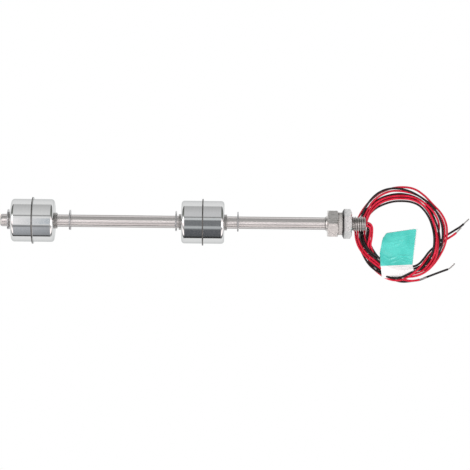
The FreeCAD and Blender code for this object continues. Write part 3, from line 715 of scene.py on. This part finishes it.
def make_stage():
    """A white sheet, a little deeper than what the camera sees. To the camera, in reflections and
    through glass it is plain white, and to the rest of the light it has its own shade."""
    front, back = SHEET_DEPTH
    bpy.ops.mesh.primitive_plane_add(size=1, location=(0, (front + back) / 2, FLOOR * MM))
    floor = bpy.context.object
    floor.scale = (SHEET_WIDTH, back - front, 1)
    floor.name = "floor"
    material = bpy.data.materials.new("white_surface")
    material.use_nodes = True
    tree = material.node_tree
    shader = tree.nodes["Principled BSDF"]
    shader.inputs["Base Color"].default_value = SHEET_SHADE
    shader.inputs["Roughness"].default_value = SHEET_ROUGHNESS
    white = tree.nodes.new("ShaderNodeEmission")
    white.inputs["Color"].default_value = (1, 1, 1, 1)
    path = tree.nodes.new("ShaderNodeLightPath")
    seen = path.outputs["Is Camera Ray"]
    for ray in ("Is Glossy Ray", "Is Transmission Ray"):
        either = tree.nodes.new("ShaderNodeMath")
        either.operation = "MAXIMUM"
        tree.links.new(seen, either.inputs[0])
        tree.links.new(path.outputs[ray], either.inputs[1])
        seen = either.outputs[0]
    mix = tree.nodes.new("ShaderNodeMixShader")
    tree.links.new(seen, mix.inputs["Fac"])
    tree.links.new(shader.outputs["BSDF"], mix.inputs[1])
    tree.links.new(white.outputs["Emission"], mix.inputs[2])
    tree.links.new(mix.outputs["Shader"], tree.nodes["Material Output"].inputs["Surface"])
    floor.data.materials.append(material)


make_stage()

# Two soft lamps, in metres.
LAMPS = {"left_lamp": (-0.95, 0.3, 1.1), "right_lamp": (0.85, -0.3, 1.1)}
LAMP_SIZE = (0.7, 0.9)
LAMP_AIM = (-0.07, 0, 0)
LAMP_POWER = 5.0


def make_lamp(name, place):
    data = bpy.data.lights.new(name, "AREA")
    data.shape = "RECTANGLE"
    data.size, data.size_y = LAMP_SIZE
    data.energy = LAMP_POWER
    lamp = link(name, data)
    lamp.location = place
    lamp.rotation_euler = (Vector(LAMP_AIM) - Vector(place)).to_track_quat("-Z", "Y").to_euler()


for name, place in LAMPS.items():
    make_lamp(name, place)


class Room:
    """The world's light as a colour for each direction, from the direction's three parts."""

    def __init__(self):
        world = bpy.data.worlds.new("room")
        bpy.context.scene.world = world
        world.use_nodes = True
        self.tree = world.node_tree
        self.tree.nodes.clear()
        where = self.tree.nodes.new("ShaderNodeTexCoord")
        parts = self.tree.nodes.new("ShaderNodeSeparateXYZ")
        self.tree.links.new(where.outputs["Generated"], parts.inputs[0])
        self.x, self.y, self.z = parts.outputs

    def math(self, operation, *values):
        node = self.tree.nodes.new("ShaderNodeMath")
        node.operation = operation
        for socket, value in zip(node.inputs, values):
            if isinstance(value, (int, float)):
                socket.default_value = value
            else:
                self.tree.links.new(value, socket)
        return node.outputs[0]

    def span(self, value, low, high):
        """The value's place between low and high, from 0 to 1."""
        node = self.tree.nodes.new("ShaderNodeMapRange")
        self.tree.links.new(value, node.inputs["Value"])
        node.inputs["From Min"].default_value = low
        node.inputs["From Max"].default_value = high
        return node.outputs[0]

    def bands(self, value, stops):
        """The colour for a value, by stops of (value, colour)."""
        node = self.tree.nodes.new("ShaderNodeValToRGB")
        self.tree.links.new(value, node.inputs["Fac"])
        elements = node.color_ramp.elements
        while len(elements) < len(stops):
            elements.new(0.5)
        for element, (place, colour) in zip(elements, stops):
            element.position = place
            element.color = (*colour, 1)
        return node.outputs["Color"]

    def blend(self, share, one, two):
        node = self.tree.nodes.new("ShaderNodeMixRGB")
        self.tree.links.new(share, node.inputs["Fac"])
        self.tree.links.new(one, node.inputs["Color1"])
        self.tree.links.new(two, node.inputs["Color2"])
        return node.outputs["Color"]

    def finish(self, colour):
        """The room's light, and white where the camera sees it."""
        room = self.tree.nodes.new("ShaderNodeBackground")
        self.tree.links.new(colour, room.inputs["Color"])
        white = self.tree.nodes.new("ShaderNodeBackground")
        white.inputs["Color"].default_value = (1, 1, 1, 1)
        path = self.tree.nodes.new("ShaderNodeLightPath")
        mix = self.tree.nodes.new("ShaderNodeMixShader")
        self.tree.links.new(path.outputs["Is Camera Ray"], mix.inputs["Fac"])
        self.tree.links.new(room.outputs[0], mix.inputs[1])
        self.tree.links.new(white.outputs[0], mix.inputs[2])
        output = self.tree.nodes.new("ShaderNodeOutputWorld")
        self.tree.links.new(mix.outputs[0], output.inputs["Surface"])


# Bands of light in the room: angles in degrees, 0 straight above and positive towards -Y, and the
# colour at each. These are what the near float shows.
MIDDLE_BANDS = [
    (-96, (0.8, 0.8, 0.8)), (-93, (0.55, 0.55, 0.55)), (-84, (0.58, 0.58, 0.58)),
    (-52, (0.72, 0.72, 0.73)), (-30, (0.73, 0.73, 0.74)), (-28, (0.3, 0.3, 0.3)),
    (-24, (0.34, 0.34, 0.34)), (-22, (0.76, 0.78, 0.79)), (20, (0.5, 0.52, 0.53)),
    (26, (0.51, 0.53, 0.54)), (31, (0.64, 0.66, 0.68)), (36, (0.31, 0.33, 0.34)),
    (42, (0.14, 0.145, 0.155)), (50, (0.13, 0.135, 0.15)), (80, (0.115, 0.12, 0.13)),
    (88, (0.03, 0.03, 0.03)), (95.5, (0.03, 0.03, 0.03)), (97.5, (0.8, 0.8, 0.8)),
]
# The same for what the far float shows.
FAR_BANDS = [
    (-96, (0.8, 0.8, 0.8)), (-93, (0.6, 0.6, 0.6)), (-84, (0.64, 0.64, 0.64)),
    (-55, (0.78, 0.78, 0.78)), (-30, (0.92, 0.92, 0.92)), (-28, (0.42, 0.42, 0.42)),
    (-23, (0.42, 0.42, 0.42)), (-20, (1.0, 1.0, 1.0)), (24, (0.95, 0.95, 0.96)),
    (28, (0.3, 0.3, 0.31)), (35, (0.28, 0.29, 0.3)), (39, (0.58, 0.59, 0.62)),
    (60, (0.47, 0.49, 0.52)), (86, (0.37, 0.38, 0.4)), (90, (0.06, 0.06, 0.06)),
    (96, (0.06, 0.06, 0.06)), (98, (0.8, 0.8, 0.8)),
]
# The same for what the fitting and the nut show.
RIGHT_BANDS = [
    (-94, (0.75, 0.75, 0.75)), (-80, (0.6, 0.6, 0.6)), (-28, (0.55, 0.55, 0.55)),
    (-18, (0.5, 0.5, 0.5)), (18, (0.52, 0.52, 0.52)), (30, (0.9, 0.85, 0.83)),
    (60, (1.25, 1.16, 1.13)), (94, (0.8, 0.8, 0.8)),
]
# The same away from the switch's own plane, which the stem's satin finish shows.
SIDE_BANDS = [
    (-94, (0.15, 0.15, 0.15)), (-88, (0.15, 0.15, 0.15)), (-60, (0.2, 0.21, 0.19)),
    (-26, (0.28, 0.29, 0.27)), (-17, (1.15, 1.07, 1.07)), (17, (1.6, 1.47, 1.47)),
    (28, (0.5, 0.48, 0.48)), (38, (0.5, 0.48, 0.48)), (48, (1.4, 1.32, 1.3)),
    (74, (1.8, 1.68, 1.66)), (82, (0.12, 0.12, 0.12)), (94, (0.12, 0.12, 0.12)),
]
# What is straight above, by the lean along X: lamps over the far float, and the dark round the camera.
ABOVE = [
    (-0.094, (1.3, 1.27, 1.27)), (-0.091, (0.78, 0.76, 0.76)), (-0.088, (0.78, 0.76, 0.76)),
    (-0.0865, (1.0, 1.0, 1.0)), (-0.0835, (1.0, 1.0, 1.0)), (-0.0825, (0.52, 0.6, 0.68)),
    (-0.078, (0.5, 0.58, 0.66)), (-0.05, (0.22, 0.23, 0.24)), (0.02, (0.23, 0.24, 0.25)),
    (0.03, (0.5, 0.5, 0.5)),
]
# Straight above starts within 14 degrees of its middle and has ended at 17.
ABOVE_MIDDLE = math.radians(5)
ABOVE_EDGES = (math.radians(17), math.radians(14))
# The leans at which one set of bands goes over into the next.
FAR_LEANS = (-0.07, -0.076)
RIGHT_LEANS = (0.025, 0.033)
SIDE_LEANS = (0.115, 0.15)


def make_room():
    """Bands by the tilt about X, other ones for each part of the switch by the lean along X."""
    room = Room()
    tilt = room.math("ARCTAN2", room.math("MULTIPLY", room.y, -1), room.z)
    turn = room.span(tilt, -math.pi, math.pi)
    middle, far, side, right = (
        room.bands(turn, [((angle + 180) / 360, colour) for angle, colour in bands])
        for bands in (MIDDLE_BANDS, FAR_BANDS, SIDE_BANDS, RIGHT_BANDS)
    )
    upright = room.math("SQRT", room.math("SUBTRACT", 1, room.math("POWER", room.x, 2)))
    lean = room.math("DIVIDE", room.x, upright)
    low, high = ABOVE[0][0], ABOVE[-1][0]
    stops = [((x - low) / (high - low), colour) for x, colour in ABOVE]
    above = room.bands(room.span(lean, low, high), stops)
    from_middle = room.math("ABSOLUTE", room.math("SUBTRACT", tilt, ABOVE_MIDDLE))
    floats = room.blend(room.span(lean, *FAR_LEANS), middle, far)
    floats = room.blend(room.span(from_middle, *ABOVE_EDGES), floats, above)
    plane = room.blend(room.span(lean, *RIGHT_LEANS), floats, right)
    off_plane = room.span(room.math("ABSOLUTE", lean), *SIDE_LEANS)
    room.finish(room.blend(off_plane, plane, side))


make_room()

# The noise of a finish lies mostly between these values.
NOISE_LOW, NOISE_HIGH = 0.3, 0.7
# Painted shade on the nut: a little darker towards the seal and dark beside it, where the gap lies in
# shade: from and to, from its face, and what is left.
NUT_PAINTED_SHADES = [(3.8, 0.6, 0.85), (1.5, 0.5, 0.06)]
# Painted shade in the thread's root: what is left of the colour there.
ROOT_PAINTED_SHADE = 0.42


class Finish:
    """A procedural material: a Principled shader with shades, gloss and relief from its own noise."""

    def __init__(self, name, metallic=0.0, roughness=0.5, **sockets):
        self.material = bpy.data.materials.new(name)
        self.material.use_nodes = True
        self.tree = self.material.node_tree
        self.shader = self.tree.nodes["Principled BSDF"]
        for key, value in dict(metallic=metallic, roughness=roughness, **sockets).items():
            socket = key.replace("_", " ").title().replace("Ior", "IOR")
            self.shader.inputs[socket].default_value = value

    def node(self, kind, **settings):
        made = self.tree.nodes.new(kind)
        for key, value in settings.items():
            setattr(made, key, value)
        return made

    def link(self, out, into):
        self.tree.links.new(out, into)

    def noise(self, scale, stretch=(1, 1, 1), detail=4.0):
        """Noise over the piece, scale in features per metre, squeezed along each axis by stretch."""
        where = self.node("ShaderNodeTexCoord")
        mapping = self.node("ShaderNodeMapping")
        mapping.inputs["Scale"].default_value = stretch
        self.link(where.outputs["Object"], mapping.inputs["Vector"])
        noise = self.node("ShaderNodeTexNoise")
        noise.inputs["Scale"].default_value = scale
        noise.inputs["Detail"].default_value = detail
        self.link(mapping.outputs[0], noise.inputs["Vector"])
        return noise.outputs["Fac"]

    def shades(self, source, *stops):
        """The colour, from a value, by stops of (value, colour)."""
        ramp = self.node("ShaderNodeValToRGB")
        elements = ramp.color_ramp.elements
        while len(elements) < len(stops):
            elements.new(0.5)
        for element, (position, colour) in zip(elements, stops):
            element.position = position
            element.color = (*colour, 1)
        self.link(source, ramp.inputs["Fac"])
        self.link(ramp.outputs["Color"], self.shader.inputs["Base Color"])

    def paint_shade(self, unshaded, shaded, dark, *parts):
        """Painted shade: darker towards the shaded distance, measured along X or, for parts Y and Z, from
        the X axis.
        """
        where = self.node("ShaderNodeTexCoord")
        split = self.node("ShaderNodeSeparateXYZ")
        self.link(where.outputs["Object"], split.inputs[0])
        if parts:
            reach = self.node("ShaderNodeCombineXYZ")
            for part in parts:
                self.link(split.outputs[part], reach.inputs[part])
            length = self.node("ShaderNodeVectorMath", operation="LENGTH")
            self.link(reach.outputs[0], length.inputs[0])
            distance = length.outputs["Value"]
        else:
            distance = split.outputs["X"]
        span = self.node("ShaderNodeMapRange")
        span.inputs["From Min"].default_value = shaded * MM
        span.inputs["From Max"].default_value = unshaded * MM
        span.inputs["To Min"].default_value = dark
        self.link(distance, span.inputs["Value"])
        mix = self.node("ShaderNodeMixRGB", blend_type="MULTIPLY")
        mix.inputs["Fac"].default_value = 1.0
        base = self.shader.inputs["Base Color"]
        self.link(base.links[0].from_socket, mix.inputs["Color1"])
        self.link(span.outputs[0], mix.inputs["Color2"])
        self.link(mix.outputs["Color"], base)

    def gloss(self, source, low, high):
        """Roughness between two values, by a noise."""
        span = self.node("ShaderNodeMapRange")
        span.inputs["From Min"].default_value = NOISE_LOW
        span.inputs["From Max"].default_value = NOISE_HIGH
        span.inputs["To Min"].default_value = low
        span.inputs["To Max"].default_value = high
        self.link(source, span.inputs["Value"])
        self.link(span.outputs[0], self.shader.inputs["Roughness"])

    def relief(self, source, depth, strength):
        """Bump of a depth in millimetres."""
        bump = self.node("ShaderNodeBump")
        bump.inputs["Strength"].default_value = strength
        bump.inputs["Distance"].default_value = depth * MM
        self.link(source, bump.inputs["Height"])
        self.link(bump.outputs["Normal"], self.shader.inputs["Normal"])


def put_on(finish, *names):
    """Give CAD nodes or pieces this material in place of their own."""
    for name in names:
        materials = bpy.data.objects[name].data.materials
        # Clearing also puts all faces on the first material, so the label's empty list is left alone.
        if materials:
            materials.clear()
        materials.append(finish.material)


def make_finishes():
    made = {}

    polished = Finish("polished_steel", metallic=1, roughness=0.07, specular_tint=(0.7, 0.71, 0.71, 1))
    grain = polished.noise(260, (12, 1, 1))
    polished.shades(grain, (0.3, (0.67, 0.68, 0.68)), (0.7, (0.73, 0.73, 0.73)))
    polished.gloss(grain, 0.05, 0.09)
    polished.relief(polished.noise(90, detail=2.0), 0.004, 0.4)
    made["polished"] = polished

    sleeve = Finish("drawn_steel", metallic=1, roughness=0.3)
    marks = sleeve.noise(700, (0.4, 1, 1))
    sleeve.shades(marks, (0.3, (0.3, 0.29, 0.28)), (0.7, (0.44, 0.43, 0.42)))
    sleeve.gloss(marks, 0.25, 0.36)
    made["sleeve"] = sleeve

    bead = Finish("weld_bead", metallic=1, roughness=0.45)
    ripple = bead.noise(600)
    bead.shades(ripple, (0.3, (0.08, 0.08, 0.08)), (0.7, (0.2, 0.19, 0.18)))
    bead.gloss(ripple, 0.38, 0.5)
    made["bead"] = bead

    stem = Finish(
        "satin_steel", metallic=1, roughness=0.22, anisotropic=0.85, anisotropic_rotation=0.25,
        specular_tint=(0.12, 0.11, 0.11, 1),
    )
    round_it = stem.node("ShaderNodeTangent", direction_type="RADIAL", axis="X")
    stem.link(round_it.outputs[0], stem.shader.inputs["Tangent"])
    lines = stem.noise(900, (0.03, 1, 1))
    stem.shades(lines, (0.3, (0.65, 0.62, 0.61)), (0.7, (0.73, 0.7, 0.69)))
    stem.gloss(lines, 0.2, 0.24)
    made["stem"] = stem

    machined = Finish("machined_steel", metallic=1, roughness=0.3)
    rings = machined.noise(1400, (0.3, 1, 1))
    machined.shades(rings, (0.3, (0.6, 0.58, 0.57)), (0.7, (0.72, 0.7, 0.68)))
    machined.gloss(machined.noise(500), 0.25, 0.42)
    machined.relief(rings, 0.01, 0.3)
    # Painted shade: the thread is darker towards its root, where shade falls.
    machined.paint_shade(CREST, ROOT_RADIUS, ROOT_PAINTED_SHADE, "Y", "Z")
    made["machined"] = machined

    nut = Finish("frosted_steel_painted_shade", metallic=1, roughness=0.42)
    speckle = nut.noise(1800)
    nut.shades(speckle, (0.35, (0.5, 0.5, 0.5)), (0.65, (0.79, 0.79, 0.78)))
    nut.gloss(nut.noise(700), 0.26, 0.44)
    nut.relief(speckle, 0.02, 0.35)
    nut_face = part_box("fixing_nut")[0].x / MM
    # Painted shade: the nut's seal side is darker, darkest right beside the seal.
    for unshaded, shaded, dark in NUT_PAINTED_SHADES:
        nut.paint_shade(nut_face + unshaded, nut_face + shaded, dark)
    made["nut"] = nut

    spring = Finish("spring_steel", metallic=1, roughness=0.25)
    spring.shades(spring.noise(1500), (0.3, (0.42, 0.42, 0.43)), (0.7, (0.6, 0.6, 0.6)))
    spring.gloss(spring.noise(900), 0.2, 0.34)
    made["spring"] = spring

    seal = Finish("seal_rubber", roughness=0.72)
    dust = seal.noise(1200)
    seal.shades(dust, (0.35, (0.5, 0.49, 0.475)), (0.7, (0.6, 0.585, 0.57)))
    seal.gloss(seal.noise(600), 0.65, 0.82)
    seal.relief(dust, 0.03, 0.4)
    made["seal"] = seal

    for colour, dark, pale in (
        ("red", (0.55, 0.008, 0.03), (0.7, 0.018, 0.055)),
        ("black", (0.011, 0.008, 0.008), (0.024, 0.018, 0.019)),
    ):
        lead = Finish(f"{colour}_insulation", roughness=0.36, specular_ior_level=0.22)
        lead.shades(lead.noise(160, detail=2.0), (0.35, dark), (0.65, pale))
        lead.gloss(lead.noise(300, detail=1.0), 0.32, 0.42)
        lead.relief(lead.noise(500, detail=1.0), 0.01, 0.2)
        made[colour] = lead

    tinned = Finish("tinned_copper", metallic=1, roughness=0.3)
    tinned.shades(tinned.noise(2500), (0.3, (0.3, 0.29, 0.28)), (0.7, (0.5, 0.48, 0.47)))
    tinned.gloss(tinned.noise(1500), 0.25, 0.45)
    made["tinned"] = tinned

    resin = Finish("cast_resin", roughness=0.3)
    resin.shades(resin.noise(900), (0.3, (0.012, 0.012, 0.012)), (0.7, (0.03, 0.03, 0.03)))
    resin.relief(resin.noise(700), 0.1, 0.4)
    made["resin"] = resin

    for key, name, dark, pale in (
        ("teal", "teal_film", (0.05, 0.53, 0.46), (0.1, 0.68, 0.6)),
        ("film_back", "white_film", (0.86, 0.87, 0.88), (0.94, 0.94, 0.94)),
    ):
        film = Finish(name, roughness=0.16, coat_weight=0.4, coat_roughness=0.08)
        film.shades(film.noise(120), (0.3, dark), (0.7, pale))
        film.gloss(film.noise(500), 0.12, 0.24)
        film.relief(film.noise(150, (1, 0.5, 1), detail=2.0), 0.12, 0.4)
        made[key] = film

    magnet = Finish("sintered_magnet", metallic=0.6, roughness=0.5)
    magnet.shades(magnet.noise(1500), (0.3, (0.03, 0.03, 0.03)), (0.7, (0.09, 0.09, 0.09)))
    made["magnet"] = magnet

    board = Finish("circuit_board", roughness=0.4)
    board.shades(board.noise(3000, (1, 8, 1)), (0.3, (0.02, 0.12, 0.05)), (0.7, (0.04, 0.2, 0.08)))
    made["board"] = board

    glass = Finish("reed_glass", roughness=0.05, transmission_weight=0.8)
    glass.shades(glass.noise(400), (0.3, (0.6, 0.8, 0.72)), (0.7, (0.75, 0.9, 0.84)))
    made["glass"] = glass
    return made


finishes = make_finishes()
put_on(finishes["stem"], "stem_tube", "stem_end_plug")
put_on(finishes["machined"], "hex_fitting", "threaded_fitting")
put_on(finishes["seal"], "seal_washer")
put_on(finishes["nut"], "fixing_nut")
put_on(finishes["spring"], *CLIPS)
for name in FLOATS:
    put_on(finishes["sleeve"], f"{name}_tube")
    put_on(finishes["polished"], f"{name}_bottom_shell", f"{name}_top_shell")
    put_on(finishes["bead"], f"{name}_weld_bead")
    put_on(finishes["magnet"], f"{name}_magnet")
put_on(finishes["board"], "circuit_strip")
put_on(finishes["glass"], "lower_reed_switch", "upper_reed_switch")
put_on(finishes["resin"], "exit_potting")
for lead in LEADS:
    insulation = finishes["red" if "red" in lead else "black"]
    put_on(insulation, f"inner_lead_{lead}", f"lead_{lead}", f"lead_{lead}_start", f"lead_{lead}_end")
    put_on(finishes["tinned"], f"bare_tip_{lead}", f"tinned_tip_{lead}")
put_on(finishes["red"], "lead_coil")
put_on(finishes["teal"], "label_flag", "label")
label.data.materials.append(finishes["film_back"].material)

bpy.context.view_layer.update()
